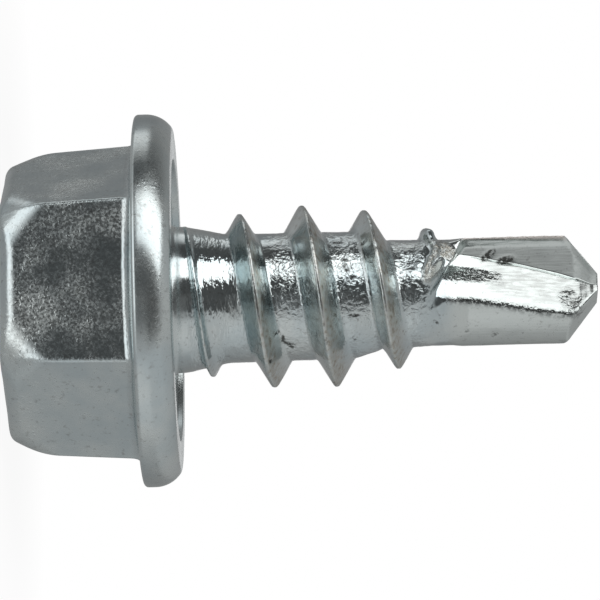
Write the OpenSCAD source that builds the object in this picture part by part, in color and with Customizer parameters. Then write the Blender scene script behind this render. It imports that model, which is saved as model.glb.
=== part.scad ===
// Hexagon washer head drilling screw, one solid steel piece.
// It stands on the flat end of its head: that end is at z = 0, the drill point is up.

/* [Head] */
// Hexagon width across flats where it meets the flange, mm
hex_af = 8.0; // [7:0.1:10]
// Height of the head, from its flat end to the bearing face, mm
head_h = 4.9; // [4.2:0.1:6]
// Draft of each flat, degrees
hex_draft = 3.3; // [0:0.1:5]
// Rounding of the flats' end edges, mm
end_round = 0.35; // [0.1:0.05:0.5]
// Angle of the corner chamfer to the axis, degrees
chamfer_angle = 29; // [20:1:45]

/* [Flange] */
// Flange diameter, mm
flange_d = 10.8; // [10:0.1:13]
// Flange thickness at the rim, mm
flange_t = 1.09; // [0.8:0.01:1.5]
// Slope of the flange's upper face, degrees
flange_slope = 6; // [0:1:12]
// Radius of the rim's rounded lower edge, mm
rim_round = 0.9; // [0.3:0.05:1.2]
// Diameter of the hollow under the flange, mm
dish_d = 8.2; // [7:0.1:8.6]
// Depth of that hollow, mm
dish_depth = 0.2; // [0.05:0.01:0.3]

/* [Shank and thread] */
// Length from the bearing face to the tip, mm
shank_l = 12.2; // [12:0.1:16]
// Thread outside diameter, mm
thread_d = 5.28; // [5:0.01:5.6]
// Thread pitch, mm
pitch = 1.81; // [1.6:0.01:2]
// Thread angle between its flanks, degrees
thread_angle = 60; // [45:1:65]
// Width of the thread's flat crest, mm
crest_w = 0.1; // [0.05:0.01:0.15]
// Core diameter under the thread, mm
core_d = 3.68; // [3.5:0.01:4]
// Diameter of the shank where it leaves the head, mm
collar_d = 4.24; // [4.1:0.01:4.5]

/* [Drill point] */
// Width over the cutting corners, mm
drill_d = 3.22; // [3:0.01:3.4]
// Thickness across the pinched lands, mm
drill_t = 1.85; // [1.7:0.01:2.2]
// Angle of the point, degrees
point_angle = 100; // [90:1:120]
// Length of the chisel edge, mm
chisel_l = 0.8; // [0.5:0.05:1]
// Width of the blunt chisel edge, mm
chisel_w = 0.28; // [0.1:0.01:0.4]
// Length of the flutes, mm
flute_l = 4.7; // [4:0.1:5.2]

/* [Hidden] */
round_fn = 96;
steps_per_turn = 40;
steel = [0.72, 0.74, 0.76];
tiny = 0.01;

bearing_z = head_h;
tip_z = head_h + shank_l;
flange_r = flange_d / 2;
rim_top_z = bearing_z - flange_t;
// the upper face climbs from the rim to the hexagon's corners
slope_rise = (flange_r - hex_af / 2) * tan(flange_slope);
hex_base_z = rim_top_z - slope_rise;
rim_top_round = 0.13;
// the hollow leaves a flat bearing ring inside the rim's round
dish_r = min(dish_d / 2, flange_r - rim_round);

core_r = core_d / 2;
collar_r = collar_d / 2;
collar_round = 0.25;
drill_r = drill_d / 2;
neck_r = drill_r - 0.05;
// heights along the shank
collar_end_z = bearing_z + 0.25;
core_start_z = bearing_z + 1.45;
point_len = (drill_r - chisel_l / 2) / tan(point_angle / 2);
corner_z = tip_z - point_len;
flute_start_z = tip_z - flute_l;
pinch_z = flute_start_z + 1.3;
neck_end_z = flute_start_z + 0.55;
neck_z = flute_start_z - 1.5;
core_end_z = neck_z - 0.85;

// the thread fades in from the collar and out on the neck
fade_in_z = bearing_z + 2.9;
fade_out_z = core_end_z - 0.25;
fade_out_l = 3.4;
thread_end_z = flute_start_z + 0.35;
thread_start_z = bearing_z + 0.05;
// side that one flute's lip points to, and where the thread crosses it before the flutes
up_angle = 189;
phase_z = flute_start_z - 2.12 * pitch;
flank_tan = tan(thread_angle / 2);
thread_root_r = neck_r - 0.2;

function crest_r(z) =
    let (full = thread_d / 2)
    let (rise = (collar_r - 0.03) + (full - collar_r + 0.03) * (z - thread_start_z) / (fade_in_z - thread_start_z))
    let (fall = full - (full - neck_r) * (z - fade_out_z) / fade_out_l)
    let (last = neck_r - 0.05 + 1.2 * (thread_end_z - z))
    min(full, rise, fall, last);

function thread_z(angle) = phase_z + pitch * (angle - up_angle) / 360;

function thread_angle_at(z) = up_angle + 360 * (z - phase_z) / pitch;

function ring_point(angle, r, z) = [r * cos(angle), r * sin(angle), z];

function thread_ring(angle) =
    let (z = thread_z(angle))
    let (top = max(crest_r(z), thread_root_r + 0.05))
    let (half_top = crest_w / 2)
    let (half_root = half_top + (top - thread_root_r) * flank_tan)
    [
        ring_point(angle, thread_root_r, z - half_root),
        ring_point(angle, top, z - half_top),
        ring_point(angle, top, z + half_top),
        ring_point(angle, thread_root_r, z + half_root)
    ];

// one helical ridge, its foot sunk into the core
module thread_ridge() {
    first = thread_angle_at(thread_start_z);
    last = thread_angle_at(thread_end_z);
    steps = ceil((last - first) / 360 * steps_per_turn);
    rings = [for (i = [0 : steps]) thread_ring(first + (last - first) * i / steps)];
    points = [for (ring = rings) for (p = ring) p];
    sides = [
        for (i = [0 : steps - 1])
            for (j = [0 : 3])
                let (a = 4 * i + j)
                let (b = 4 * i + (j + 1) % 4)
                each [[a, b, b + 4], [a, b + 4, a + 4]]
    ];
    start_cap = [[0, 2, 1], [0, 3, 2]];
    end_base = 4 * steps;
    end_cap = [[end_base, end_base + 1, end_base + 2], [end_base, end_base + 2, end_base + 3]];
    polyhedron(points = points, faces = concat(sides, start_cap, end_cap), convexity = 8);
}

// a drafted hexagon, its corners on the X axis
module hexagon(apothem_low, apothem_high, h) {
    cylinder(h = h, r1 = apothem_low / cos(30), r2 = apothem_high / cos(30), $fn = 6);
}

// a hexagon that narrows to the head's end, touching the round of its end edges
module end_bevel(apothem, h, lean) {
    low = apothem - end_round + end_round * (1 - sin(lean)) / cos(lean);
    hexagon(low, low + h * tan(lean), h);
}

module hexagon_head() {
    end_apothem = hex_af / 2 - hex_base_z * tan(hex_draft);
    body_h = rim_top_z + flange_t / 2;
    chamfer_r = end_apothem + 0.12;
    intersection() {
        hexagon(end_apothem, end_apothem + body_h * tan(hex_draft), body_h);
        cylinder(h = body_h, r1 = chamfer_r, r2 = chamfer_r + body_h * tan(chamfer_angle), $fn = round_fn);
        // two bevels follow the round of the end edges
        for (lean = [30, 60])
            end_bevel(end_apothem, body_h, lean);
    }
}

// half section of the flange: sloped top, rounded rim, flat bearing ring, shallow hollow with a steep edge
module flange_section() {
    rim_centre_z = bearing_z - min(rim_round, flange_t) * 0.85;
    edge_lean = 10;
    difference() {
        intersection() {
            polygon([
                [0, hex_base_z],
                [hex_af / 2, hex_base_z],
                [flange_r - rim_top_round, rim_top_z],
                [flange_r, rim_top_z + rim_top_round],
                [flange_r, bearing_z],
                [0, bearing_z]
            ]);
            union() {
                square([flange_r - rim_round, bearing_z]);
                square([flange_r + tiny, rim_centre_z]);
                translate([flange_r - rim_round, rim_centre_z])
                    circle(r = rim_round, $fn = round_fn);
            }
        }
        polygon([
            [0, bearing_z - dish_depth],
            [dish_r - dish_depth * tan(edge_lean), bearing_z - dish_depth],
            [dish_r, bearing_z],
            [dish_r, bearing_z + 1],
            [0, bearing_z + 1]
        ]);
    }
}

module flange() {
    rotate_extrude($fn = round_fn)
        flange_section();
}

// collar, core, neck and the round blank of the drill point
module shank_section() {
    foot_z = bearing_z - dish_depth;
    difference() {
        union() {
            polygon([
                [0, foot_z - 0.3],
                [collar_r, foot_z - 0.3],
                [collar_r, collar_end_z],
                [core_r + 0.03, core_start_z],
                [core_r, core_end_z],
                [neck_r, neck_z],
                [neck_r, neck_end_z],
                [drill_r, neck_end_z + 0.1],
                [drill_r, corner_z],
                [chisel_l / 2, tip_z],
                [0, tip_z]
            ]);
            translate([0, foot_z - 0.3])
                square([collar_r + collar_round, collar_round + 0.3]);
        }
        translate([collar_r + collar_round, foot_z + collar_round])
            circle(r = collar_round, $fn = round_fn);
    }
}

// the pinching dies flatten the blank on two sides: everything outside this arc goes
module pinch_cut() {
    land_r = (drill_r * drill_r + drill_t * drill_t / 4) / drill_t;
    offset_y = land_r - drill_t / 2;
    far = 3 * drill_r;
    start_slope = 60;
    // the flattened section leans, so that each lip stands ahead of its own land
    section_turn = 16;
    rotate([0, 0, section_turn])
        intersection() {
            translate([0, 0, pinch_z - far])
                linear_extrude(height = tip_z - pinch_z + 2 * far)
                    difference() {
                        translate([-far, -far])
                            square([2 * far, far]);
                        translate([0, offset_y])
                            circle(r = land_r, $fn = round_fn);
                    }
            translate([0, -drill_t / 2, pinch_z])
                rotate([start_slope, 0, 0])
                    translate([-far, -far, 0])
                        cube([2 * far, 5 * far, 4 * far]);
        }
}

// one flute: a flat cutting face and a flat floor meeting in a valley that deepens to the tip
module flute_groove(face_end, face_tilt) {
    floor_tilt = 35;
    far = 2.2 * drill_r;
    start_x = -0.71 * drill_r;
    end_x = -0.105 * drill_r;
    // the end of the flute slants: the floor starts before the face does
    slant = 0.5 * far;
    function valley(x, z) = [x, face_end[1] + (x - face_end[0]) * tan(face_tilt), z];
    function on_face(p, rise) = [p[0] - far, p[1] - far * tan(face_tilt), p[2] + rise];
    function on_floor(p, rise) = [p[0] + far, p[1] - far * tan(floor_tilt), p[2] + rise];
    low = valley(start_x, flute_start_z + 0.5);
    high = valley(end_x, tip_z);
    // both ends of each edge stay in the plane of the face or the floor
    run = (high - low) / (high[2] - low[2]);
    low_face = on_face(low, 0) + run * slant;
    low_floor = on_floor(low, 0) - run * slant;
    high_face = on_face(high, 0) + run;
    high_floor = on_floor(high, 0) + run;
    polyhedron(
        points = [low, low_face, low_floor, high + run, high_face, high_floor],
        faces = [
            [0, 1, 2], [3, 5, 4],
            [0, 3, 4], [0, 4, 1],
            [0, 2, 5], [0, 5, 3],
            [1, 4, 5], [1, 5, 2]
        ]
    );
}

// the groove leaves a raised bevel along the lip
module flute_cut() {
    face_tilt = 13;
    lip_tilt = 50;
    far = 6 * drill_r;
    face_end = [-0.79 * drill_r, -0.112 * drill_r];
    intersection() {
        flute_groove(face_end, face_tilt);
        translate([face_end[0], face_end[1], 0])
            rotate([0, 0, lip_tilt])
                translate([-far / 2, -far, flute_start_z - far / 2])
                    cube([far, far, tip_z]);
    }
}

// the two slopes that leave the chisel edge across the tip
module chisel_cut() {
    far = 3 * drill_r;
    edge_slope = 43;
    // they fall away behind each lip, towards the heel of the flute
    relief_turn = 56;
    rotate([0, 0, relief_turn])
        translate([0, -chisel_w / 2, tip_z])
            rotate([edge_slope, 0, 0])
                translate([-far, -far, 0])
                    cube([2 * far, far, far]);
}

module both_sides() {
    for (turn = [0, 180])
        rotate([0, 0, turn])
            children();
}

module threaded_blank() {
    rotate_extrude($fn = round_fn)
        shank_section();
    thread_ridge();
}

module shank() {
    difference() {
        threaded_blank();
        rotate([0, 0, up_angle - 180])
            both_sides() {
                pinch_cut();
                flute_cut();
                chisel_cut();
            }
    }
}

module screw() {
    color(steel)
        union() {
            hexagon_head();
            flange();
            shank();
        }
}

screw();
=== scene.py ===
import bpy
import math
import numpy as np
from mathutils import Matrix, Vector, noise


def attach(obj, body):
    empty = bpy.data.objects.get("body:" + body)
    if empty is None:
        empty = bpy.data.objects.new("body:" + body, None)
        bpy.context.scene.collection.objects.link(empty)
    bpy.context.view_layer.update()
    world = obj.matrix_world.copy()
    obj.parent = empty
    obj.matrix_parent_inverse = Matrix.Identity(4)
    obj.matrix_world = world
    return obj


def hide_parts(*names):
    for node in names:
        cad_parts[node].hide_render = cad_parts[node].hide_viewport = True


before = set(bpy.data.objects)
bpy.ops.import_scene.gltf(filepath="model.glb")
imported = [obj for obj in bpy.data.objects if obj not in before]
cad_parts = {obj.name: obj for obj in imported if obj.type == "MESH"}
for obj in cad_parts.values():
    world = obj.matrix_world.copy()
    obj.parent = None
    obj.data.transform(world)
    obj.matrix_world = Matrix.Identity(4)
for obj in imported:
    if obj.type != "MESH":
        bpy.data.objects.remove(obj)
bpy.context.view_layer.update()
MM = 0.001

# Sizes in millimetres, the same as the solid's but for the chisel edge, which is blunter here
HEX_AF = 8.0
HEAD_H = 4.9
HEX_DRAFT = math.radians(3.3)
END_ROUND = 0.35
CHAMFER_TAN = math.tan(math.radians(29))
FLANGE_R = 5.4
FLANGE_T = 1.09
FLANGE_SLOPE = math.tan(math.radians(6))
RIM_ROUND = 0.9
RIM_TOP_ROUND = 0.13
DISH_R = 4.1
DISH_DEPTH = 0.2
DISH_LEAN = math.tan(math.radians(10))
SHANK_L = 12.2
THREAD_R = 2.64
PITCH = 1.81
FLANK_TAN = math.tan(math.radians(30))
CREST_W = 0.1
CORE_R = 1.84
COLLAR_R = 2.12
COLLAR_ROUND = 0.25
DRILL_R = 1.61
DRILL_T = 1.85
POINT_TAN = math.tan(math.radians(50))
CHISEL_L = 0.9
CHISEL_W = 0.40
RELIEF_TURN = math.radians(56)
FLUTE_L = 4.7
# Where the photo's upper side lies round the axis
UP_ANGLE = math.radians(189)

BEARING_Z = HEAD_H
TIP_Z = HEAD_H + SHANK_L
RIM_TOP_Z = BEARING_Z - FLANGE_T
HEX_BASE_Z = RIM_TOP_Z - (FLANGE_R - HEX_AF / 2) * FLANGE_SLOPE
NECK_R = DRILL_R - 0.05
COLLAR_END_Z = BEARING_Z + 0.25
CORE_START_Z = BEARING_Z + 1.45
CORNER_Z = TIP_Z - (DRILL_R - CHISEL_L / 2) / POINT_TAN
FLUTE_START_Z = TIP_Z - FLUTE_L
NECK_END_Z = FLUTE_START_Z + 0.55
NECK_Z = FLUTE_START_Z - 1.5
CORE_END_Z = NECK_Z - 0.85
FADE_IN_Z = BEARING_Z + 2.9
FADE_OUT_Z = CORE_END_Z - 0.25
FADE_OUT_L = 3.4
THREAD_START_Z = BEARING_Z + 0.05
THREAD_END_Z = FLUTE_START_Z + 0.05
PHASE_Z = FLUTE_START_Z - 2.12 * PITCH
FOOT_Z = BEARING_Z - DISH_DEPTH

# Mesh columns round the axis
COLS = 288
PER_SECTOR = COLS // 6
TURN = 2 * math.pi


def smoothstep(low, high, x):
    t = np.clip((x - low) / (high - low), 0, 1)
    return t * t * (3 - 2 * t)


def smooth_min(a, b, k):
    h = np.clip(0.5 + 0.5 * (b - a) / k, 0, 1)
    return b * (1 - h) + a * h - k * h * (1 - h)


def smooth_max(a, b, k):
    return -smooth_min(-a, -b, k)


# Angles of the columns on the head: close together at the hexagon's corners
def head_angles():
    t = (np.arange(COLS) % PER_SECTOR) / PER_SECTOR
    near = 0.5 * np.power(2 * np.minimum(t, 1 - t), 2.0)
    share = np.where(t < 0.5, near, 1 - near)
    return (np.arange(COLS) // PER_SECTOR + share) * TURN / 6


THETA_HEAD = head_angles()
THETA_EVEN = np.arange(COLS) * TURN / COLS


# Polar radius of a hexagon with rounded corners, for its half width across flats
def hexagon_r(theta, apothem, corner_round):
    sector = TURN / 6
    off_flat = np.abs((theta % sector) - sector / 2)
    inner = (apothem - corner_round) / math.cos(sector / 2)
    flat_r = apothem / np.cos(off_flat)
    to_corner = sector / 2 - off_flat
    reach = np.maximum(corner_round**2 - (inner * np.sin(to_corner)) ** 2, 0)
    arc_r = inner * np.cos(to_corner) + np.sqrt(reach)
    flat_end = np.arctan2((apothem - corner_round) * math.tan(sector / 2), apothem)
    return np.where(off_flat < flat_end, flat_r, arc_r)


END_APOTHEM = HEX_AF / 2 - HEX_BASE_Z * math.tan(HEX_DRAFT)
CHAMFER_R = END_APOTHEM + 0.12
CORNER_ROUND = 0.16
CHAMFER_BLEND = 0.26
HEX_FOOT_ROUND = 0.20
# the end's rounding is larger in the middle of a flat and smaller at a corner
END_ROUND_MORE = 0.12
END_ROUND_LESS = 0.32


def head_r(theta, z):
    side = hexagon_r(theta, END_APOTHEM + z * math.tan(HEX_DRAFT), CORNER_ROUND)
    cone = CHAMFER_R + z * CHAMFER_TAN
    return smooth_min(side, cone, CHAMFER_BLEND)


# Rows of the head and flange: each is a pair of arrays, radius and height
def head_rows():
    theta = THETA_HEAD
    rows = []
    sector = TURN / 6
    corner_share = np.abs((theta % sector) / sector - 0.5) * 2
    end_round = END_ROUND + END_ROUND_MORE - END_ROUND_LESS * smoothstep(0.35, 1.0, corner_share)
    zero = np.zeros(COLS)
    edge = head_r(theta, zero) - end_round
    for share in (0.25, 0.5, 0.75, 0.9, 0.97):
        rows.append((edge * share, zero))
    for angle in np.linspace(0, math.pi / 2, 10):
        z = end_round * (1 - math.cos(angle))
        r = head_r(theta, z) - end_round * (1 - math.sin(angle))
        rows.append((r, z))
    fillet = HEX_FOOT_ROUND
    junction_r = head_r(theta, zero + HEX_BASE_Z)
    top_z = RIM_TOP_Z - (FLANGE_R - RIM_TOP_ROUND - junction_r - fillet) * FLANGE_SLOPE
    side_top = top_z - fillet
    side_shares = [np.linspace(0.02, 0.45, 28), np.linspace(0.5, 0.88, 6), np.linspace(0.9, 1, 13)]
    for share in np.concatenate(side_shares):
        z = end_round + (side_top - end_round) * share
        rows.append((head_r(theta, z), z))
    for angle in np.linspace(0, math.pi / 2, 7)[1:]:
        z = side_top + fillet * math.sin(angle)
        r = head_r(theta, side_top) + fillet * (1 - math.cos(angle))
        rows.append((r, z))
    inner_r = rows[-1][0]
    inner_z = rows[-1][1]
    outer_r = FLANGE_R - RIM_TOP_ROUND
    for share in np.linspace(0, 1, 7)[1:]:
        rows.append((inner_r + (outer_r - inner_r) * share, inner_z + (RIM_TOP_Z - inner_z) * share))
    for angle in np.linspace(0, math.pi / 2, 7)[1:]:
        r = outer_r + RIM_TOP_ROUND * math.sin(angle)
        z = RIM_TOP_Z + RIM_TOP_ROUND * (1 - math.cos(angle))
        rows.append((zero + r, zero + z))
    rim_centre_z = BEARING_Z - 0.85 * RIM_ROUND
    rows.append((zero + FLANGE_R, zero + (RIM_TOP_Z + RIM_TOP_ROUND + rim_centre_z) / 2))
    last_angle = math.asin(0.85) - 0.09
    for angle in np.linspace(0, last_angle, 12):
        r = FLANGE_R - RIM_ROUND + RIM_ROUND * math.cos(angle)
        rows.append((zero + r, zero + rim_centre_z + RIM_ROUND * math.sin(angle)))
    edge_r = rows[-1][0][0]
    edge_z = rows[-1][1][0]
    for share in (0.35, 0.7, 1.0):
        ease = 1 - (1 - share) ** 2
        rows.append((zero + edge_r - 0.13 * share, zero + edge_z + (BEARING_Z - edge_z) * ease))
    ring_r = edge_r - 0.13
    for share in (0.03, 0.2, 0.5, 0.8, 0.97):
        rows.append((zero + ring_r + (DISH_R + 0.03 - ring_r) * share, zero + BEARING_Z))
    for depth in (0.01, 0.03, 0.08, 0.14, 0.19):
        rows.append((zero + DISH_R - depth * DISH_LEAN, zero + BEARING_Z - depth))
    collar_out = COLLAR_R + COLLAR_ROUND
    floor_r = DISH_R - DISH_DEPTH * DISH_LEAN - 0.02
    for share in (0.0, 0.08, 0.4, 0.7, 1.0):
        rows.append((zero + floor_r + (collar_out - floor_r) * share, zero + FOOT_Z))
    for angle in np.linspace(0, math.pi / 2, 8)[1:]:
        r = collar_out - COLLAR_ROUND * math.sin(angle)
        rows.append((zero + r, zero + FOOT_Z + COLLAR_ROUND * (1 - math.cos(angle))))
    return rows


# Radius of the plain shank under the thread
def core_r(z):
    heights = [FOOT_Z, COLLAR_END_Z, CORE_START_Z, CORE_END_Z, NECK_Z, NECK_END_Z, NECK_END_Z + 0.1, TIP_Z]
    radii = [COLLAR_R, COLLAR_R, CORE_R + 0.03, CORE_R, NECK_R, NECK_R, DRILL_R, DRILL_R]
    spread = 0.12
    total = 0
    for shift in (-1, -0.5, 0, 0.5, 1):
        total = total + np.interp(z + shift * spread, heights, radii)
    return total / 5


def crest_r(z):
    start_r = COLLAR_R - 0.03
    rise = start_r + (THREAD_R - start_r) * (z - THREAD_START_Z) / (FADE_IN_Z - THREAD_START_Z)
    fall = THREAD_R - (THREAD_R - NECK_R) * (z - FADE_OUT_Z) / FADE_OUT_L
    last = NECK_R - 0.05 + 2.4 * (THREAD_END_Z - z)
    first = COLLAR_R + 0.07 + 0.9 * (z - THREAD_START_Z)
    return np.minimum(np.minimum(np.minimum(rise, fall), np.minimum(last, first)), THREAD_R)


# The first turn starts closer to the second
RUN_IN = 0.22
RUN_IN_Z = BEARING_Z + 1.1


def run_in(z):
    return z + RUN_IN * np.maximum(RUN_IN_Z - z, 0)


def run_out(z):
    return np.where(z < RUN_IN_Z, (z - RUN_IN * RUN_IN_Z) / (1 - RUN_IN), z)


# Radius of the threaded shank: the ridge blends into the core
def thread_surface_r(theta, z):
    crest_z = PHASE_Z + PITCH * (theta - UP_ANGLE) / TURN
    thread_z = run_out(z)
    turns = np.round((thread_z - crest_z) / PITCH)
    crest_z = crest_z + turns * PITCH
    off = np.abs(thread_z - crest_z)
    rounded = np.sqrt(np.maximum(off - CREST_W * 0.25, 0) ** 2 + 0.03**2) - 0.03
    ridge = crest_r(crest_z) - rounded / FLANK_TAN
    return smooth_max(core_r(z), ridge, 0.09)


# Drill point, in the plane across the axis: u towards the photo's upper side, v towards its viewer
LENS_HALF = 1.68
LAND_R = (LENS_HALF**2 + DRILL_T**2 / 4) / DRILL_T
LAND_OFF = LAND_R - DRILL_T / 2
FACE_TAN = math.tan(math.radians(13))
FACE_END_U = 1.28
FACE_END_V = 0.18
LIP_TAN = math.tan(math.radians(37))
CONE_LIP_TAN = math.tan(math.radians(21))
LIP_W = 0.25
# the web thickens just before the tip
WEB_LIFT = 0.34
LENS_TURN = math.radians(16)
ROOF_TAN = math.tan(math.radians(47))
FRONT_ANGLE = UP_ANGLE + math.pi / 2
VALLEY_Z = [11.6, 12.92, 14.83, 15.90, 16.60, 16.86, 17.10]
VALLEY_U = [1.34, 1.14, 0.75, 0.47, 0.25, 0.14, 0.08]
HEEL_Z = [11.6, 12.28, 13.09, 13.82, 14.54, 15.27, 16.10]
HEEL_U = [-0.09, -0.12, -0.18, -0.28, -0.41, -0.56, -0.67]
HEEL_END_Z = HEEL_Z[-1]


def lens_r(phi):
    turned = phi + LENS_TURN
    return -LAND_OFF * np.abs(np.cos(turned)) + np.sqrt(LAND_R**2 - (LAND_OFF * np.sin(turned)) ** 2)


# Outer radius of the point before the flutes are cut, phi from the viewer towards the upper side;
# turned is 1 for the half behind
def blank_r(phi, z, turned):
    theta = FRONT_ANGLE - phi + math.pi * turned
    round_r = thread_surface_r(theta, z)
    across = np.maximum(np.abs(np.cos(phi + RELIEF_TURN)), 1e-4)
    pinch = smoothstep(FLUTE_START_Z - 0.75, FLUTE_START_Z + 0.95, z)
    pinched = round_r + (np.minimum(lens_r(phi), round_r) - round_r) * pinch
    cone = CHISEL_L / 2 + (TIP_Z - z) * POINT_TAN
    roof = (CHISEL_W / 2 + (TIP_Z - z) * ROOF_TAN) / across
    return smooth_min(smooth_min(pinched, cone, 0.05), roof, 0.04)


# Where a straight line from inside the section meets the blank's outside
def meet_blank(start, direction, z, turned):
    low = 0.0
    high = 4.0
    for _ in range(30):
        mid = (low + high) / 2
        u = start[0] + direction[0] * mid
        v = start[1] + direction[1] * mid
        if math.hypot(u, v) < blank_r(np.array([math.atan2(u, v)]), z, turned)[0]:
            low = mid
        else:
            high = mid
    return start[0] + direction[0] * low, start[1] + direction[1] * low


def valley_point(z):
    u = float(np.interp(z, VALLEY_Z, VALLEY_U))
    lift = WEB_LIFT * smoothstep(TIP_Z - 0.80, TIP_Z + 0.05, z)
    return u, FACE_END_V + (u - FACE_END_U) * FACE_TAN + lift


# Slope of the flute's floor, from its valley to its heel
def floor_slope(z, turned):
    z = min(z, HEEL_END_Z)
    valley = valley_point(z)
    heel_u = float(np.interp(z, HEEL_Z, HEEL_U))
    heel = meet_blank((heel_u, 0.0), (0.0, 1.0), z, turned)
    return (heel[1] - valley[1]) / (valley[0] - heel[0])


# the floor rises fast beside its valley: share of its width, and of its rise
FOOT_SHARE = 0.04
FOOT_RISE = 0.12
# and the same where the flute begins, steepest in the middle of the floor
HOLLOW_SHARE = [0, 0.30, 0.60, 1]
HOLLOW_RISE = [0, 0.21, 0.70, 1]
LIP_COL = 160
FACE_COLS = 32
FLOOR_COLS = 50
CUT_COLS = FACE_COLS + FLOOR_COLS
LAND_COLS = COLS // 2 - CUT_COLS
# how far beyond the flute's start each part of its section begins: lip, valley, then the floor to its heel
START_SHARE = [0, FACE_COLS / CUT_COLS, 0.55, 0.66, 0.81, 0.95, 1]
START_Z = [0.80, 0.50, 0.26, 0.10, -0.12, -0.36, -0.42]


def eased(count):
    t = np.arange(count) / count
    return 0.6 * t + 0.4 * (0.5 - 0.5 * np.cos(math.pi * t))


# Rounding of the point's edges: passes over all of them, then over the heels alone, and a heel's width in columns
EDGE_PASSES = 2
HEEL_PASSES = 128
HEEL_COLS = 9.0
PASS_SHARE = 0.25


# Half a row across the drill point: the face, floor and land of one flute
def half_row(z, turned):
    valley = valley_point(z)
    slope = floor_slope(z, turned)
    edge = meet_blank(valley, (1.0, FACE_TAN), z, turned)
    lip_w = LIP_W * (1 - smoothstep(TIP_Z - 0.25, TIP_Z - 0.05, z)) * (1 - 0.65 * turned)
    bend_u = max(edge[0] - lip_w, valley[0] + 0.3 * (edge[0] - valley[0]))
    bend = (bend_u, valley[1] + (bend_u - valley[0]) * FACE_TAN)
    lip_tan = LIP_TAN + (CONE_LIP_TAN - LIP_TAN) * smoothstep(CORNER_Z - 0.1, CORNER_Z + 0.15, z)
    lip = meet_blank(bend, (1.0, lip_tan), z, turned)
    heel = meet_blank(valley, (-1.0, slope), z, turned)
    column = LIP_COL + np.arange(COLS // 2)
    even_phi = FRONT_ANGLE - column * TURN / COLS
    lip_phi = math.atan2(lip[0], lip[1])
    heel_phi = math.atan2(heel[0], heel[1])
    warp = smoothstep(FLUTE_START_Z - 0.7, FLUTE_START_Z + 0.3, z)
    face_t = eased(FACE_COLS)
    floor_t = eased(FLOOR_COLS)
    bend_t = min(0.45, max(0.02, (lip[0] - bend[0]) / max(lip[0] - valley[0], 0.01)))
    face_u = np.interp(face_t, [0, bend_t, 1], [lip[0], bend[0], valley[0]])
    face_v = np.interp(face_t, [0, bend_t, 1], [lip[1], bend[1], valley[1]])
    foot_v = np.interp(floor_t, [0, FOOT_SHARE, 1], [0, FOOT_RISE, 1])
    hollow_v = np.interp(floor_t, HOLLOW_SHARE, HOLLOW_RISE)
    hollow = 1 - smoothstep(FLUTE_START_Z + 0.6, FLUTE_START_Z + 2.3, z)
    foot_v = foot_v + (hollow_v - foot_v) * hollow
    cut_u = np.concatenate([face_u, valley[0] + (heel[0] - valley[0]) * floor_t])
    cut_v = np.concatenate([face_v, valley[1] + (heel[1] - valley[1]) * foot_v])
    cut_share = np.arange(CUT_COLS) / CUT_COLS
    cut_phi = lip_phi + (heel_phi - lip_phi) * cut_share
    land_phi = heel_phi + (lip_phi - math.pi - heel_phi) * eased(LAND_COLS)
    phi = even_phi + (np.concatenate([cut_phi, land_phi]) - even_phi) * warp
    r = blank_r(phi, z, turned)
    u = r * np.sin(phi)
    v = r * np.cos(phi)
    start = np.interp(cut_share, START_SHARE, START_Z) + FLUTE_START_Z
    depth = smoothstep(-0.06, 0.18, z - start)
    u[:CUT_COLS] += (cut_u - u[:CUT_COLS]) * depth
    v[:CUT_COLS] += (cut_v - v[:CUT_COLS]) * depth
    sign = -1 if turned else 1
    return sign * u, sign * v


def point_row(z):
    front_u, front_v = half_row(z, 0)
    back_u, back_v = half_row(z, 1)
    return np.concatenate([front_u, back_u]), np.concatenate([front_v, back_v])


SHANK_LOW_Z = FOOT_Z + COLLAR_ROUND
SHANK_HIGH_Z = FLUTE_START_Z - 0.75


def point_rows():
    heights = np.concatenate([
        np.linspace(SHANK_HIGH_Z, FLUTE_START_Z + 0.9, 40),
        np.linspace(FLUTE_START_Z + 0.9, CORNER_Z - 0.12, 46)[1:],
        np.linspace(CORNER_Z - 0.12, CORNER_Z + 0.2, 8)[1:],
        np.linspace(CORNER_Z + 0.2, TIP_Z - 0.03, 16)[1:],
    ])
    grid_u = []
    grid_v = []
    for z in heights:
        u, v = point_row(z)
        grid_u.append(u)
        grid_v.append(v)
    grid_u = np.array(grid_u)
    grid_v = np.array(grid_v)
    # edges are rounded a little, and the flute's heel a good deal
    column = np.arange(COLS) % (COLS // 2)
    heel_share = np.exp(-((column - CUT_COLS) / HEEL_COLS) ** 2)
    for i in range(EDGE_PASSES + HEEL_PASSES):
        share = PASS_SHARE if i < EDGE_PASSES else PASS_SHARE * heel_share
        for grid in (grid_u, grid_v):
            bend = np.roll(grid[1:], 1, axis=1) + np.roll(grid[1:], -1, axis=1) - 2 * grid[1:]
            grid[1:] += share * bend
    grid_u = np.roll(grid_u, LIP_COL, axis=1)
    grid_v = np.roll(grid_v, LIP_COL, axis=1)
    up = np.array([math.cos(UP_ANGLE), math.sin(UP_ANGLE)])
    front = np.array([math.cos(FRONT_ANGLE), math.sin(FRONT_ANGLE)])
    x = grid_u * up[0] + grid_v * front[0]
    y = grid_u * up[1] + grid_v * front[1]
    return x, y, heights


# The photograph's axes: up in the picture and towards its viewer
UP_DIR = Vector((math.cos(UP_ANGLE), math.sin(UP_ANGLE), 0))
FRONT_DIR = Vector((math.cos(FRONT_ANGLE), math.sin(FRONT_ANGLE), 0))
AXIS_DIR = Vector((0, 0, 1))
PHOTO_SIDE = 600
MM_PER_PIXEL = 0.029
CAMERA_MM = 3500 * MM_PER_PIXEL
PHOTO_TILT = math.radians(1.6)
CENTRE_Z = 8.454
CENTRE_U = -3.4 * MM_PER_PIXEL


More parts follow.
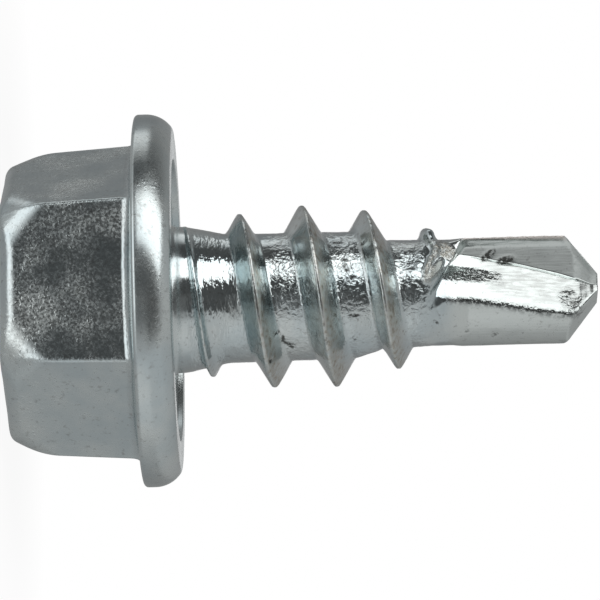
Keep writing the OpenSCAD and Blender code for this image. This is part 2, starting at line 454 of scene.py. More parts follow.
# Height and sideways place, in millimetres, of a pixel of the photo at a depth towards its viewer
def photo_point(x, y, depth):
    scale = MM_PER_PIXEL * (1 - depth / CAMERA_MM)
    across = (x - PHOTO_SIDE / 2) * scale
    above = (PHOTO_SIDE / 2 - y) * scale
    z = CENTRE_Z + across * math.cos(PHOTO_TILT) + above * math.sin(PHOTO_TILT)
    u = CENTRE_U - across * math.sin(PHOTO_TILT) + above * math.cos(PHOTO_TILT)
    return z, u


# Heights from a crest at which the thread's surface is sampled, within one pitch
CREST_STEPS = [0, 0.02, 0.04, 0.07, 0.12, 0.20, 0.30, 0.40, 0.47, 0.52, 0.57, 0.63, 0.74]
OFFSETS = np.array([-PITCH / 2] + [-s for s in CREST_STEPS[:0:-1]] + CREST_STEPS)


class MeshBuilder:
    def __init__(self):
        self.points = []
        self.faces = []
        self.point_rings = []

    def add_ring(self, x, y, z):
        first = len(self.points)
        self.points.extend(np.stack([x, y, np.broadcast_to(z, x.shape)], axis=1).tolist())
        return np.arange(first, first + len(x))

    def add_face(self, corners):
        kept = []
        for c in corners:
            if c not in kept:
                kept.append(int(c))
        if len(kept) > 2:
            self.faces.append(kept)

    def join(self, low, high):
        for j in range(COLS):
            k = (j + 1) % COLS
            self.add_face([low[j], low[k], high[k], high[j]])

    def fan(self, ring, centre, facing_up):
        self.points.append(centre)
        hub = len(self.points) - 1
        for j in range(COLS):
            k = (j + 1) % COLS
            self.add_face([ring[j], ring[k], hub] if facing_up else [ring[k], ring[j], hub])


def build_screw():
    builder = MeshBuilder()
    rows = head_rows()
    ring_count = len(rows)
    previous = None
    for i, (r, z) in enumerate(rows):
        # the columns leave the hexagon's spacing for an even one on the flange's underside
        to_even = smoothstep(0.72, 0.98, i / (ring_count - 1))
        theta = THETA_HEAD + (THETA_EVEN - THETA_HEAD) * to_even
        ring = builder.add_ring(r * np.cos(theta), r * np.sin(theta), z)
        if previous is None:
            builder.fan(ring, [0, 0, 0], False)
        else:
            builder.join(previous, ring)
        previous = ring
    x, y, heights = point_rows()
    high_ring = builder.add_ring(x[0], y[0], heights[0])
    build_thread(builder, previous, high_ring)
    previous = high_ring
    for i in range(1, len(heights)):
        ring = builder.add_ring(x[i], y[i], heights[i])
        builder.join(previous, ring)
        builder.point_rings.append(ring)
        previous = ring
    builder.fan(previous, [0, 0, TIP_Z], True)
    return builder


# The thread's rows follow its helix; those past either end fall on the ring there
def build_thread(builder, low_ring, high_ring):
    first_turn = -3
    last_turn = 3
    ids = []
    for turn in range(first_turn, last_turn + 1):
        for off in OFFSETS:
            z = run_in(PHASE_Z + PITCH * ((THETA_EVEN - UP_ANGLE) / TURN + turn) + off)
            r = thread_surface_r(THETA_EVEN, z)
            row = np.where(z <= SHANK_LOW_Z + 0.012, low_ring, high_ring)
            free = (z > SHANK_LOW_Z + 0.012) & (z < SHANK_HIGH_Z - 0.012)
            first = len(builder.points)
            xyz = np.stack([r * np.cos(THETA_EVEN), r * np.sin(THETA_EVEN), z], axis=1)
            builder.points.extend(xyz[free].tolist())
            row[free] = first + np.arange(int(free.sum()))
            ids.append(row)
    per_turn = len(OFFSETS)
    for i in range(len(ids) - 1):
        for j in range(COLS):
            if j < COLS - 1:
                right_low = ids[i][j + 1]
                right_high = ids[i + 1][j + 1]
            else:
                right_low = ids[i + per_turn][0] if i + per_turn < len(ids) else high_ring[0]
                right_high = ids[i + 1 + per_turn][0] if i + 1 + per_turn < len(ids) else high_ring[0]
            builder.add_face([ids[i][j], right_low, right_high, ids[i + 1][j]])


# Pits and scratches: x, y, half length, half width and slant on the photo's plane, depth in mm, darkness; the
# darkness is dark pitting and partly painted shade in the dents and creases
MARKS = [
    (489, 255, 10, 3.4, 36, 0.02, 1), (507, 260, 10, 3.8, 14, 0.02, 1),
    (353, 315, 5, 1.8, 0, 0.03, 1), (355, 337, 1.6, 4.0, 0, 0.02, 1), (290, 345, 7, 2.2, -30, 0.03, 1),
    (297, 350, 4, 1.6, -60, 0.03, 1), (278, 332, 3, 1.5, 60, 0.02, 1), (283, 339, 2, 4.5, 0, 0.02, 1),
    (346, 268, 2.2, 5, 20, 0.03, 1), (351, 278, 3.5, 2, -20, 0.03, 1), (343, 259, 4, 1.6, -35, 0.02, 1),
    (337, 243, 5, 1.8, 0, 0.02, 1), (271, 361, 1.8, 1.8, 0, 0.03, 1), (436, 322, 4, 2, -40, 0.01, 0.5),
    (496, 335, 6, 3, 30, 0.008, 0.42), (467, 331, 4, 2.5, 0, 0.006, 0.40), (361, 244, 3, 2, 0, 0.02, 1),
    (524, 333, 3, 2, 0, 0.004, 0.40), (441, 320, 18, 1.4, -71, 0.012, 0.32), (408, 262, 9, 8, 20, 0.05, 0.25),
    (574, 303, 9, 5, 35, 0.02, 0.34), (557, 330, 13, 1.2, 70, 0.004, 0.30), (326, 340, 3, 7, 0, 0.012, 0.4),
]
BACK_MARKS = 34


def smooth_blob(along, across):
    return np.exp(-((along**2 + across**2) ** 1.5))


# Share of each point that lies in a pit, which darkens the colour partly as painted shade, and how deep the pit
# is there
def pit_shares(z, u, v, theta, r):
    share = np.zeros(len(z))
    depth = np.zeros(len(z))
    for x, y, length, width, slant, deep, dark in MARKS:
        mark_z, mark_u = photo_point(x, y, 1.0)
        turn = math.radians(slant)
        dz = (z - mark_z) / MM_PER_PIXEL
        du = (u - mark_u) / MM_PER_PIXEL
        along = (dz * math.cos(turn) + du * math.sin(turn)) / length
        across = (du * math.cos(turn) - dz * math.sin(turn)) / width
        here = np.where(v > -0.15, smooth_blob(along, across), 0)
        share = np.maximum(share, here * dark)
        depth = np.maximum(depth, here * deep)
    chance = np.random.default_rng(11)
    for _ in range(BACK_MARKS):
        mark_z = chance.uniform(FADE_IN_Z - 1.4, FLUTE_START_Z)
        mark_theta = FRONT_ANGLE + math.pi + chance.uniform(-1.5, 1.5)
        length = chance.uniform(0.05, 0.16)
        width = chance.uniform(0.03, 0.06)
        turn = chance.uniform(-math.pi, math.pi)
        around = (np.mod(theta - mark_theta + math.pi, TURN) - math.pi) * r
        along = ((z - mark_z) * math.cos(turn) + around * math.sin(turn)) / length
        across = (around * math.cos(turn) - (z - mark_z) * math.sin(turn)) / width
        here = smooth_blob(along, across)
        share = np.maximum(share, here)
        depth = np.maximum(depth, here * 0.02)
    return share, depth


# How far each point lies from the middle of an oval on the photo's plane, 1 on its outline
def photo_oval(z, u, oval):
    x, y, length, half_width, slant = oval
    oval_z, oval_u = photo_point(x, y, 1.2)
    turn = math.radians(slant)
    dz = (z - oval_z) / MM_PER_PIXEL
    du = (u - oval_u) / MM_PER_PIXEL
    along = (dz * math.cos(turn) + du * math.sin(turn)) / length
    across = (du * math.cos(turn) - dz * math.sin(turn)) / half_width
    return np.hypot(along, across)


# Speckled patches on the flute's floor: centre, half length, half width and slant on the photo's plane
SPECKLED = [(466, 275, 40, 10, -6), (573, 302, 17, 11, -35)]


# The ragged burr that the point's dies left where the flute begins: its ridge on the photo's plane
BURR_PATH = [(430, 229), (433, 240), (435, 248), (432, 256), (428, 264), (425, 272), (425, 282)]
BURR_HEIGHT = 0.12
# the flat finger beside it: centre, half length, half width and slant on the photo's plane
FINGER = (435, 270, 15, 5.0, 53)
# and the torn metal above it
TORN = (445, 250, 14, 9, -35)
FINGER_HEIGHT = 0.11
# the rounded end of the thread above
KNOB = (428, 232, 9, 8, 0)
KNOB_HEIGHT = 0.10
# no dents lie beside the burr
BURR_ZONE = (436, 256, 26, 11, 70)


# Share of each point that lies on the burr's ridge
def burr_ridge(z, u, lumps):
    path = np.array([photo_point(x, y, 1.2) for x, y in BURR_PATH])
    ridge_z = np.interp(u, path[::-1, 1], path[::-1, 0])
    inside = smoothstep(path[-1, 1] - 0.15, path[-1, 1] + 0.1, u)
    off = z - ridge_z + 0.06 * lumps
    width = np.where(off < 0, 0.06, 0.17)
    low_knob = 1 - smoothstep(1.32, 1.60, u)
    return inside * np.exp(-((off / width) ** 2)) * low_knob


def burr_push(z, u, v, lumps):
    ridge = burr_ridge(z, u, lumps) * BURR_HEIGHT * (0.85 + 0.45 * lumps)
    finger = FINGER_HEIGHT * (1 - smoothstep(0.6, 1.15, photo_oval(z, u, FINGER)))
    knob = KNOB_HEIGHT * (1 - smoothstep(0.2, 1.2, photo_oval(z, u, KNOB)))
    return np.where(v > -0.3, np.maximum(ridge, finger) + knob, 0)


def noise_at(points, scale, offset):
    return np.array([noise.noise(Vector(p) * scale + offset) for p in points])


def make_screw_object():
    builder = build_screw()
    points = np.array(builder.points)
    mesh = bpy.data.meshes.new("screw_surface")
    mesh.from_pydata((points * MM).tolist(), [], builder.faces)
    mesh.update()
    normals = np.empty(len(points) * 3)
    mesh.vertices.foreach_get("normal", normals)
    normals = normals.reshape(-1, 3)

    z = points[:, 2]
    r = np.hypot(points[:, 0], points[:, 1])
    theta = np.arctan2(points[:, 1], points[:, 0])
    u = points[:, 0] * UP_DIR.x + points[:, 1] * UP_DIR.y
    v = points[:, 0] * FRONT_DIR.x + points[:, 1] * FRONT_DIR.y
    crest_z = PHASE_Z + PITCH * (theta - UP_ANGLE) / TURN
    off_crest = z - crest_z - np.round((z - crest_z) / PITCH) * PITCH
    on_shank = smoothstep(BEARING_Z + 0.05, BEARING_Z + 0.3, z)
    before_point = 1 - smoothstep(FLUTE_START_Z - 0.4, FLUTE_START_Z, z)
    height = np.clip((r - core_r(z)) / 0.75, 0, 1) * on_shank * before_point
    root = on_shank * (1 - smoothstep(0.03, 0.25, height))

    slow = noise_at(points, 0.9, Vector((5, 2, 8)))
    wave = noise_at(points, 1.7, Vector((0, 0, 0)))
    lump = noise_at(points, 4.2, Vector((3, 7, 1)))
    fine = noise_at(points, 9.0, Vector((8, 1, 4)))
    pits, pit_depth = pit_shares(z, u, v, theta, r)
    dented = root * smoothstep(BEARING_Z + 2.2, BEARING_Z + 3.2, z) * before_point
    dented *= 1 - np.where(v > -0.3, 1 - smoothstep(0.7, 1.2, photo_oval(z, u, BURR_ZONE)), 0)
    crest = smoothstep(0.55, 0.95, height)

    push = 0.004 * slow * (1 - on_shank)
    push += on_shank * (0.007 * wave + 0.003 * lump)
    push += dented * (0.008 * lump + 0.004 * fine)
    push -= crest * np.maximum(0.020 * lump + 0.012 * fine, 0)
    push -= pit_depth
    push += burr_push(z, u, v, lump + 0.5 * fine) * on_shank
    foot = np.exp(-(((z - HEX_BASE_Z + 0.06) / 0.07) ** 2)) * (r < head_r(theta, z) + 0.2)
    push += foot * (0.02 * lump + 0.01 * fine)
    lips = lip_line(builder, z)
    heels = heel_line(u, v, z)
    push += lips * np.maximum(0.004 + 0.016 * fine, 0)
    push[z < 0.05] = 0
    points = points + normals * push[:, None]
    mesh.vertices.foreach_set("co", (points * MM).reshape(-1))

    right_side = 0.30 + 0.70 * smoothstep(-0.08, 0.12, off_crest)
    stain = smoothstep(0.10, 0.75, height) * right_side
    streaks = smoothstep(BEARING_Z + 0.2, BEARING_Z + 0.5, z)
    streaks *= 1 - smoothstep(BEARING_Z + 1.9, BEARING_Z + 2.9, z)
    in_point = smoothstep(FLUTE_START_Z + 0.1, FLUTE_START_Z + 0.6, z)
    speckled = np.zeros(len(z))
    for oval in SPECKLED:
        here = 1 - smoothstep(0.45, 1.1, photo_oval(z, u, oval) + 0.25 * lump)
        speckled = np.maximum(speckled, np.where(v > -0.3, here, 0))
    finger = np.where(v > 0, 1 - smoothstep(0.55, 0.85, photo_oval(z, u, FINGER)), 0)
    torn = np.where(v > 0, 1 - smoothstep(0.6, 1.1, photo_oval(z, u, TORN)), 0)
    flange = smoothstep(RIM_TOP_Z - 0.05, RIM_TOP_Z + 0.05, z) * (1 - on_shank)
    torn = np.maximum(torn, burr_ridge(z, u, lump + 0.5 * fine) * (v > -0.3))
    give_colours(mesh, "zones", flange, finger, torn)
    floors = floor_share(builder, z)
    give_colours(mesh, "cut", floors, floors, floors)
    give_colours(mesh, "flute", speckled, heels, (1 - on_shank) * (1 - 0.7 * flange))
    edges = knocked_edges(theta, r, z)
    give_colours(mesh, "wear", stain, dented, streaks)
    give_colours(mesh, "marks", pits, in_point, crest)
    spotted = (1 - on_shank) * (1 - 0.6 * smoothstep(1.5, 3.0, z))
    give_colours(mesh, "edges", edges, lips, spotted)
    mesh.polygons.foreach_set("use_smooth", np.ones(len(mesh.polygons), dtype=bool))
    mesh.update()
    piece = bpy.data.objects.new("screw_visual", mesh)
    bpy.context.scene.collection.objects.link(piece)
    return piece


# Share of each point that lies on a knocked edge of the hexagon: its corners, its end and its foot
def knocked_edges(theta, r, z):
    sector = TURN / 6
    to_corner = np.abs((theta + sector / 2) % sector - sector / 2) * r
    corner = np.exp(-((to_corner / 0.08) ** 2)) * (z < HEX_BASE_Z)
    foot = np.exp(-(((z - HEX_BASE_Z + 0.02) / 0.07) ** 2)) * (r < head_r(theta, z) + 0.16)
    end = np.exp(-(((z - 0.30) / 0.22) ** 2)) * 0.3
    on_head = smoothstep(0.02, 0.08, z) * (1 - smoothstep(RIM_TOP_Z - 0.02, RIM_TOP_Z, z))
    return np.maximum(np.maximum(corner, foot), end) * on_head


# Columns beside a cutting lip, and how much of its rolled line each carries
LIP_SHARES = [(-1, 0.6), (0, 1), (1, 1), (2, 1), (3, 0.9), (4, 0.6), (5, 0.3)]


# Share of each point that lies on the rough line along a flute's heel, where dark grains are painted as shade
def heel_line(u, v, z):
    side = np.where(v > 0, 1, -1)
    heel = np.exp(-(((side * u - np.interp(z, HEEL_Z, HEEL_U) + 0.06) / 0.11) ** 2)) * (np.abs(v) > 0.3)
    return heel * smoothstep(FLUTE_START_Z, FLUTE_START_Z + 0.3, z)


# Gives the points of the drill point's rows a share by their column, counted from the cutting lip
def column_shares(builder, shares):
    share = np.zeros(len(builder.points))
    for ring in builder.point_rings:
        for step, part in shares:
            for half in (0, COLS // 2):
                share[ring[(LIP_COL + half + step) % COLS]] = part
    return share


# Share of each point that lies on a flute's streaked floor
def floor_share(builder, z):
    step = np.arange(FLOOR_COLS)
    part = np.minimum(step / 4, 1) * (1 - 0.6 * smoothstep(0.5, 1.0, step / FLOOR_COLS))
    share = column_shares(builder, list(zip(FACE_COLS + step, part)))
    return share * smoothstep(FLUTE_START_Z + 0.8, FLUTE_START_Z + 1.9, z)


# Share of each point that lies on the rolled line along a cutting lip
def lip_line(builder, z):
    share = column_shares(builder, LIP_SHARES)
    before_cone = 1 - smoothstep(CORNER_Z - 0.05, CORNER_Z + 0.12, z)
    return share * before_cone * smoothstep(FLUTE_START_Z + 0.6, FLUTE_START_Z + 0.9, z)


# Stores three shares of each point as one colour attribute
def give_colours(mesh, name, red, green, blue):
    layer = mesh.attributes.new(name, "FLOAT_COLOR", "POINT")
    values = np.stack([red, green, blue, np.ones(len(red))], axis=1)
    layer.data.foreach_set("color", values.reshape(-1))


# Node helpers
def new_node(tree, kind, place, **values):
    node = tree.nodes.new(kind)
    node.location = place
    for key, value in values.items():
        setattr(node, key, value)
    return node


def link(tree, source, target):
    tree.links.new(source, target)


# A noise over the part, with the coordinates stretched by the three factors, in turns per millimetre
def noise_node(tree, place, vector, stretch, detail, distortion=0.0, roughness=0.5):
    scaled = new_node(tree, "ShaderNodeVectorMath", (place[0] - 200, place[1]), operation="MULTIPLY")
    scaled.inputs[1].default_value = [s / MM for s in stretch]
    link(tree, vector, scaled.inputs[0])
    node = new_node(tree, "ShaderNodeTexNoise", place)
    node.inputs["Scale"].default_value = 1.0
    node.inputs["Detail"].default_value = detail
    node.inputs["Distortion"].default_value = distortion
    node.inputs["Roughness"].default_value = roughness
    link(tree, scaled.outputs["Vector"], node.inputs["Vector"])
    return node.outputs["Fac"]


# Sends a value's range to another
def ranged(tree, place, value, low, high, to_low, to_high):
    node = new_node(tree, "ShaderNodeMapRange", place)
    node.inputs["From Min"].default_value = low
    node.inputs["From Max"].default_value = high
    node.inputs["To Min"].default_value = to_low
    node.inputs["To Max"].default_value = to_high
    link(tree, value, node.inputs["Value"])
    return node.outputs["Result"]


def math_node(tree, place, operation, first, second):
    node = new_node(tree, "ShaderNodeMath", place, operation=operation)
    for socket, value in zip(node.inputs, (first, second)):
        if isinstance(value, (int, float)):
            socket.default_value = value
        else:
            link(tree, value, socket)
    return node.outputs["Value"]


def mixed(tree, place, share, first, second):
    node = new_node(tree, "ShaderNodeMixRGB", place)
    link(tree, share, node.inputs["Fac"])
    for socket, value in zip((node.inputs["Color1"], node.inputs["Color2"]), (first, second)):
        if isinstance(value, tuple):
            socket.default_value = value
        else:
            link(tree, value, socket)
    return node.outputs["Color"]


def attribute_parts(tree, place, name):
    node = new_node(tree, "ShaderNodeAttribute", place, attribute_name=name)
    split = new_node(tree, "ShaderNodeSeparateColor", (place[0] + 200, place[1]))
    link(tree, node.outputs["Color"], split.inputs["Color"])
    return split.outputs


ZINC_COOL = (0.585, 0.665, 0.685, 1)
ZINC_PALE = (0.700, 0.755, 0.750, 1)
POINT_PALE = (0.720, 0.765, 0.745, 1)
STAIN_TAN = (0.500, 0.480, 0.420, 1)
STAIN_DARK = (0.300, 0.270, 0.220, 1)
# dark of the pits, used also as painted shade in dents and creases
PIT_DARK_AND_SHADE = (0.050, 0.050, 0.045, 1)
SPECK_DARK = (0.330, 0.340, 0.330, 1)
# dark of the grains, used also as painted shade along the heel
GRAIN_AND_HEEL_SHADE = (0.120, 0.130, 0.130, 1)
FINGER_GREY = (0.330, 0.360, 0.345, 1)
FLASH_PALE = (0.860, 0.810, 0.770, 1)


def zinc_material():
    material = bpy.data.materials.new("zinc_plating")
    material.use_nodes = True
    tree = material.node_tree
    shader = tree.nodes["Principled BSDF"]
    shader.inputs["Metallic"].default_value = 1.0
    coords = new_node(tree, "ShaderNodeTexCoord", (-2200, 0))
    at = coords.outputs["Object"]
    wear = attribute_parts(tree, (-1800, 900), "wear")
    marks = attribute_parts(tree, (-1800, 700), "marks")
    edges = attribute_parts(tree, (-1800, 500), "edges")
    zones = attribute_parts(tree, (-1800, 300), "zones")
    stain, dented, streaked = wear["Red"], wear["Green"], wear["Blue"]
    pits, in_point, crest = marks["Red"], marks["Green"], marks["Blue"]
    knocked, lip, spotted = edges["Red"], edges["Green"], edges["Blue"]
    flange, finger, torn = zones["Red"], zones["Green"], zones["Blue"]
    flute = attribute_parts(tree, (-1800, 100), "flute")
    speckled, heel, on_head = flute["Red"], flute["Green"], flute["Blue"]

    cloud = noise_node(tree, (-1600, 400), at, (0.7, 0.7, 0.7), 4)
    speck = noise_node(tree, (-1600, 150), at, (6, 6, 6), 4)
    spots = noise_node(tree, (-1600, 0), at, (13, 13, 13), 3, 0, 0.65)
    flecks = noise_node(tree, (-1600, -50), at, (9, 9, 9), 2, 0.3, 0.5)
    dents = noise_node(tree, (-1600, -350), at, (7, 7, 7), 3, 0.5, 0.5)
    rings = noise_node(tree, (-1600, -600), at, (3.6, 3.6, 11), 2, 0, 0.5)
    drawn = noise_node(tree, (-1600, -850), at, (14, 14, 1.1), 3)
    nicks = noise_node(tree, (-1600, -1100), at, (9, 9, 9), 4, 0.3, 0.6)

    clouded = ranged(tree, (-1200, 500), cloud, 0.35, 0.65, 0, 1)
    plain = mixed(tree, (-1000, 500), clouded, ZINC_COOL, ZINC_PALE)
    paler = math_node(tree, (-1000, 700), "MULTIPLY", in_point, 0.8)
    plain = mixed(tree, (-850, 500), paler, plain, POINT_PALE)
    on_floor = attribute_parts(tree, (-1800, -100), "cut")["Red"]
    streak = ranged(tree, (-1200, 800), drawn, 0.40, 0.62, 0.30, 0.75)
    streak = math_node(tree, (-1000, 800), "MULTIPLY", streak, on_floor)
    plain = mixed(tree, (-820, 500), streak, plain, SPECK_DARK)
    # dark grains on the speckled patches, and along the heel a line of painted shade
    half_speckled = math_node(tree, (-1500, 850), "MULTIPLY", speckled, 0.5)
    grain_and_heel_shade = math_node(tree, (-1300, 850), "MAXIMUM", half_speckled, heel)
    grains = ranged(tree, (-1200, 850), flecks, 0.40, 0.58, 0.10, 0.85)
    grain_and_heel_shade = math_node(tree, (-1000, 850), "MULTIPLY", grain_and_heel_shade, grains)
    plain = mixed(tree, (-810, 500), grain_and_heel_shade, plain, GRAIN_AND_HEEL_SHADE)
    rare = ranged(tree, (-1200, 600), spots, 0.62, 0.74, 0, 0.55)
    plain = mixed(tree, (-800, 500), rare, plain, SPECK_DARK)
    smudge = ranged(tree, (-1200, 650), speck, 0.60, 0.72, 0, 0.5)
    plain = mixed(tree, (-750, 500), smudge, plain, SPECK_DARK)
    tan_part = ranged(tree, (-1300, 900), speck, 0.35, 0.6, 0.25, 0.9)
    tan_part = math_node(tree, (-1100, 900), "MULTIPLY", stain, tan_part)
    tanned = mixed(tree, (-700, 500), tan_part, plain, STAIN_TAN)
    dark_part = ranged(tree, (-1100, 800), speck, 0.56, 0.68, 0, 0.8)
    dark_part = math_node(tree, (-900, 800), "MULTIPLY", stain, dark_part)
    stained = mixed(tree, (-500, 500), dark_part, tanned, STAIN_DARK)
    ragged_part = ranged(tree, (-1100, 1000), nicks, 0.35, 0.65, 0.25, 1.7)
    ragged = math_node(tree, (-900, 1000), "MULTIPLY", pits, ragged_part)
    ragged = ranged(tree, (-500, 700), ragged, 0.25, 0.75, 0, 0.9)
    # pits and scratches are darkened: dark pitting, and partly painted shade in the dents and creases
    pitted_and_shaded = mixed(tree, (-300, 500), ragged, stained, PIT_DARK_AND_SHADE)
    fingered = mixed(tree, (-150, 500), finger, pitted_and_shaded, FINGER_GREY)
    torn_part = math_node(tree, (-300, 700), "MULTIPLY", torn, ragged_part)
    torn_part = math_node(tree, (-200, 700), "MULTIPLY", torn_part, 0.6)
    fingered = mixed(tree, (-100, 500), torn_part, fingered, STAIN_TAN)
    flashed = mixed(tree, (-50, 500), lip, fingered, FLASH_PALE)
    link(tree, flashed, shader.inputs["Base Color"])

    # duller crystals lie scattered over the bright plating, in clouds
    crystals = ranged(tree, (-1300, 300), spots, 0.36, 0.74, 0, 1)
    crowded = ranged(tree, (-1300, 200), cloud, 0.38, 0.62, 0.4, 1)
    dull = math_node(tree, (-1100, 300), "MULTIPLY", crystals, crowded)
    dull_share = math_node(tree, (-1100, 150), "MULTIPLY", on_head, 0.40)
    dull = math_node(tree, (-1000, 300), "MULTIPLY", dull, dull_share)
    gloss = ranged(tree, (-1100, 250), cloud, 0.3, 0.7, 0.06, 0.10)
    gloss = math_node(tree, (-900, 300), "ADD", gloss, dull)
    rougher = [
        (stain, 0.20), (pits, 0.3), (crest, 0.05), (in_point, 0.05),
        (flange, 0.12), (torn, 0.15), (finger, 0.3), (lip, 0.25),
    ]
    for i, (share, size) in enumerate(rougher):
        more = math_node(tree, (-900, 150 - 60 * i), "MULTIPLY", share, size)
        gloss = math_node(tree, (-700 + 100 * i, 250), "ADD", gloss, more)
    link(tree, gloss, shader.inputs["Roughness"])

    # bright grains stand up in patches from a flatter ground
    patches = ranged(tree, (-1300, -100), cloud, 0.44, 0.62, 0.15, 1.0)
    peaks = ranged(tree, (-1300, -250), flecks, 0.58, 0.76, 0.0, 1.0)
    clumps = math_node(tree, (-1100, -100), "MULTIPLY", peaks, patches)
    clumps = math_node(tree, (-1050, -100), "MULTIPLY", clumps, spotted)
    height = math_node(tree, (-1000, -100), "MULTIPLY", clumps, 0.0065)
    mottle = ranged(tree, (-1300, 0), cloud, 0.40, 0.62, 0.001, 0.003)
    mottle = math_node(tree, (-1100, 0), "MULTIPLY", spots, mottle)
    mottle = math_node(tree, (-1000, 0), "MULTIPLY", mottle, on_head)
    height = math_node(tree, (-950, -100), "ADD", height, mottle)
    layers = [
        (dents, dented, 0.034), (rings, streaked, 0.024), (drawn, in_point, 0.0044),
        (flecks, speckled, 0.036), (nicks, knocked, 0.018), (nicks, lip, 0.03),
        (flecks, heel, 0.04), (nicks, crest, 0.012), (nicks, torn, 0.06),
    ]
    for i, (pattern, share, size) in enumerate(layers):
        masked = math_node(tree, (-1200, -350 - 250 * i), "MULTIPLY", pattern, share)
        sized = math_node(tree, (-1000, -350 - 250 * i), "MULTIPLY", masked, size)
        height = math_node(tree, (-800, -200 - 200 * i), "ADD", height, sized)
    bump = new_node(tree, "ShaderNodeBump", (-400, -300))
    bump.inputs["Strength"].default_value = 1.0
    bump.inputs["Distance"].default_value = MM
    link(tree, height, bump.inputs["Height"])
    link(tree, bump.outputs["Normal"], shader.inputs["Normal"])
    return material


def add_camera():
    distance = CAMERA_MM * MM
    centre = AXIS_DIR * (CENTRE_Z * MM) + UP_DIR * (CENTRE_U * MM)
    right = AXIS_DIR * math.cos(PHOTO_TILT) - UP_DIR * math.sin(PHOTO_TILT)
    up = AXIS_DIR * math.sin(PHOTO_TILT) + UP_DIR * math.cos(PHOTO_TILT)
    camera = bpy.data.cameras.new("camera")
    camera.sensor_width = 36
    camera.lens = camera.sensor_width * distance / (PHOTO_SIDE * MM_PER_PIXEL * MM)
    camera.clip_start = 0.001
    camera.clip_end = 10
    holder = bpy.data.objects.new("camera", camera)
    place = Matrix((right, up, FRONT_DIR)).transposed().to_4x4()
    place.translation = centre + FRONT_DIR * distance
    holder.matrix_world = place
    bpy.context.scene.collection.objects.link(holder)
    bpy.context.scene.camera = holder


def add_softbox(name, toward, distance, width, length, radiance):
    light = bpy.data.lights.new(name, "AREA")
    light.shape = "RECTANGLE"
    light.size = width
    light.size_y = length
    light.energy = radiance * math.pi * width * length
    lamp = bpy.data.objects.new(name, light)
    centre = AXIS_DIR * (9 * MM)
    z_axis = toward.normalized()
    y_axis = AXIS_DIR - z_axis * AXIS_DIR.dot(z_axis)
    y_axis.normalize()
    x_axis = y_axis.cross(z_axis)
    place = Matrix((x_axis, y_axis, z_axis)).transposed().to_4x4()
    place.translation = centre + z_axis * distance
    lamp.matrix_world = place
    lamp.visible_camera = False
    bpy.context.scene.collection.objects.link(lamp)


# Brightness of the studio round the screw's axis: degrees from the viewer towards the photo's upper side
STUDIO = [
    (-180, 0.30), (-160, 0.24), (-137, 0.25), (-123, 0.31), (-100, 0.38), (-83, 0.52), (-60, 0.60),
    (-38, 0.54), (-26, 0.36), (-20, 0.33), (-15, 0.13), (3, 0.13), (9, 0.07), (88, 0.07),
    (97, 0.10), (104, 0.36),
    (110, 0.66), (124, 0.95), (131, 0.27), (152, 0.22), (166, 0.25), (180, 0.30),
]
# The same for light that comes from beyond the head's end
HEAD_END = [
    (-180, 0.40), (-165, 0.30), (-40, 0.40), (-20, 0.60), (0, 1.25), (60, 1.25), (78, 0.50), (130, 0.30),
    (165, 0.36), (180, 0.40),
]
# The same on the tip's side of the flange, and the level beyond the tip
FLANGE_SIDE = [
    (-180, 0.30), (-83, 0.48), (-30, 0.50), (-22, 0.08), (98, 0.08), (108, 0.12), (126, 0.20), (140, 0.25),
    (180, 0.30),
]
TIP_END = 0.42
HEAD_POLE = 0.34


# A grey ramp over the turn round the axis
def turn_ramp(tree, place, share, levels):
    node = new_node(tree, "ShaderNodeValToRGB", place)
    ramp = node.color_ramp
    while len(ramp.elements) < len(levels):
        ramp.elements.new(0.5)
    for element, (degrees, level) in zip(ramp.elements, levels):
        element.position = (degrees + 180) / 360
        element.color = (level, level, level, 1)
    link(tree, share, node.inputs["Fac"])
    return node.outputs["Color"]


# 1 for a ray that metal sends back or that something clear lets through
def shiny_ray(tree, place, path):
    return math_node(tree, place, "ADD", path.outputs["Is Glossy Ray"], path.outputs["Is Transmission Ray"])


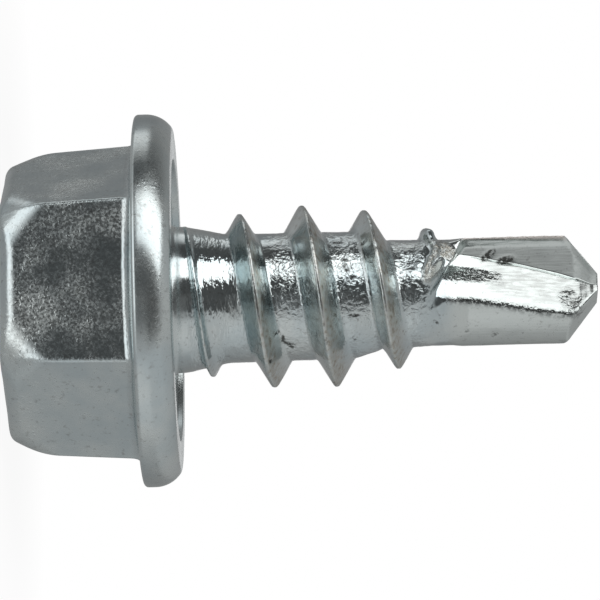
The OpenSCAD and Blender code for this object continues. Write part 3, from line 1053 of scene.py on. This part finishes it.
def add_world():
    world = bpy.data.worlds.new("studio")
    bpy.context.scene.world = world
    world.use_nodes = True
    tree = world.node_tree
    tree.nodes.clear()
    coords = new_node(tree, "ShaderNodeTexCoord", (-1600, 0))
    parts = []
    for i, direction in enumerate((UP_DIR, FRONT_DIR, AXIS_DIR)):
        dot = new_node(tree, "ShaderNodeVectorMath", (-1400, -200 * i), operation="DOT_PRODUCT")
        dot.inputs[1].default_value = direction
        link(tree, coords.outputs["Generated"], dot.inputs[0])
        parts.append(dot.outputs["Value"])
    angle = math_node(tree, (-1200, 0), "ARCTAN2", parts[0], parts[1])
    share = ranged(tree, (-1000, 0), angle, -math.pi, math.pi, 0, 1)
    around = turn_ramp(tree, (-800, 0), share, STUDIO)
    beyond_head = turn_ramp(tree, (-800, -300), share, HEAD_END)
    to_head = ranged(tree, (-1000, -400), parts[2], -0.24, -0.50, 0, 1)
    to_tip = ranged(tree, (-1000, -600), parts[2], 0.75, 0.97, 0, 1)
    past_flange = turn_ramp(tree, (-800, -600), share, FLANGE_SIDE)
    to_flange = ranged(tree, (-1000, -800), parts[2], 0.12, 0.22, 0, 1)
    around = mixed(tree, (-650, 0), to_flange, around, past_flange)
    with_head = mixed(tree, (-500, 0), to_head, around, beyond_head)
    to_pole = ranged(tree, (-1000, -1000), parts[2], -0.72, -0.90, 0, 1)
    with_head = mixed(tree, (-420, 0), to_pole, with_head, (HEAD_POLE, HEAD_POLE, HEAD_POLE, 1))
    studio = mixed(tree, (-350, 0), to_tip, with_head, (TIP_END, TIP_END, TIP_END, 1))
    # the white backdrop behind the screw is there for the camera, the metal and anything clear
    path = new_node(tree, "ShaderNodeLightPath", (-1200, 500))
    behind = ranged(tree, (-1000, 300), parts[1], -0.985, -0.998, 0, 1)
    shiny = shiny_ray(tree, (-1000, 500), path)
    shown = math_node(tree, (-800, 400), "MULTIPLY", shiny, behind)
    seen = math_node(tree, (-600, 400), "MAXIMUM", path.outputs["Is Camera Ray"], shown)
    colour = mixed(tree, (-200, 200), seen, studio, (1, 1, 1, 1))
    background = new_node(tree, "ShaderNodeBackground", (0, 200))
    link(tree, colour, background.inputs["Color"])
    output = new_node(tree, "ShaderNodeOutputWorld", (200, 200))
    link(tree, background.outputs["Background"], output.inputs["Surface"])


# Half the floor's width in metres, its depth below the head in millimetres, and how white it is beside the screw
FLOOR_HALF = 0.5
FLOOR_DROP = 0.02
FLOOR_NEAR = 0.92


def add_floor():
    half = FLOOR_HALF
    corners = [(-half, -half), (half, -half), (half, half), (-half, half)]
    mesh = bpy.data.meshes.new("floor")
    mesh.from_pydata([(x, y, -FLOOR_DROP * MM) for x, y in corners], [], [(0, 1, 2, 3)])
    floor = bpy.data.objects.new("floor", mesh)
    bpy.context.scene.collection.objects.link(floor)
    material = bpy.data.materials.new("pale_floor")
    material.use_nodes = True
    tree = material.node_tree
    tree.nodes.clear()
    path = new_node(tree, "ShaderNodeLightPath", (-900, 400))
    shiny = shiny_ray(tree, (-700, 400), path)
    seen = math_node(tree, (-500, 400), "MAXIMUM", path.outputs["Is Camera Ray"], shiny)
    coords = new_node(tree, "ShaderNodeTexCoord", (-1100, 100))
    length = new_node(tree, "ShaderNodeVectorMath", (-900, 100), operation="LENGTH")
    link(tree, coords.outputs["Object"], length.inputs[0])
    far = ranged(tree, (-700, 100), length.outputs["Value"], 0.005, 0.014, FLOOR_NEAR, 1.0)
    share = math_node(tree, (-300, 300), "MULTIPLY", seen, far)
    paint = new_node(tree, "ShaderNodeBsdfDiffuse", (-300, 0))
    paint.inputs["Color"].default_value = (0.88, 0.88, 0.88, 1)
    glow = new_node(tree, "ShaderNodeEmission", (-300, -200))
    glow.inputs["Color"].default_value = (1, 1, 1, 1)
    mix = new_node(tree, "ShaderNodeMixShader", (0, 0))
    link(tree, share, mix.inputs["Fac"])
    link(tree, paint.outputs["BSDF"], mix.inputs[1])
    link(tree, glow.outputs["Emission"], mix.inputs[2])
    output = new_node(tree, "ShaderNodeOutputMaterial", (200, 0))
    link(tree, mix.outputs["Shader"], output.inputs["Surface"])
    mesh.materials.append(material)
    # the metal shows the studio itself, below the floor too
    floor.visible_glossy = False
    floor.visible_shadow = False


bpy.context.scene.view_settings.view_transform = "Standard"
screw = make_screw_object()
screw.data.materials.append(zinc_material())
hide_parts("screw")
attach(screw, "root")
add_camera()
# The softbox stands above the viewer's side and towards the tip; its sizes are in metres
KEY_ANGLE = math.radians(52.5)
KEY_TO_TIP = math.radians(28)
KEY_DISTANCE = 0.2
KEY_WIDTH = 0.142
KEY_LENGTH = 0.27
KEY_RADIANCE = 1.6
key_dir = FRONT_DIR * math.cos(KEY_ANGLE) + UP_DIR * math.sin(KEY_ANGLE)
toward = key_dir * math.cos(KEY_TO_TIP) + AXIS_DIR * math.sin(KEY_TO_TIP)
add_softbox("softbox", toward, KEY_DISTANCE, KEY_WIDTH, KEY_LENGTH, KEY_RADIANCE)
add_world()
add_floor()
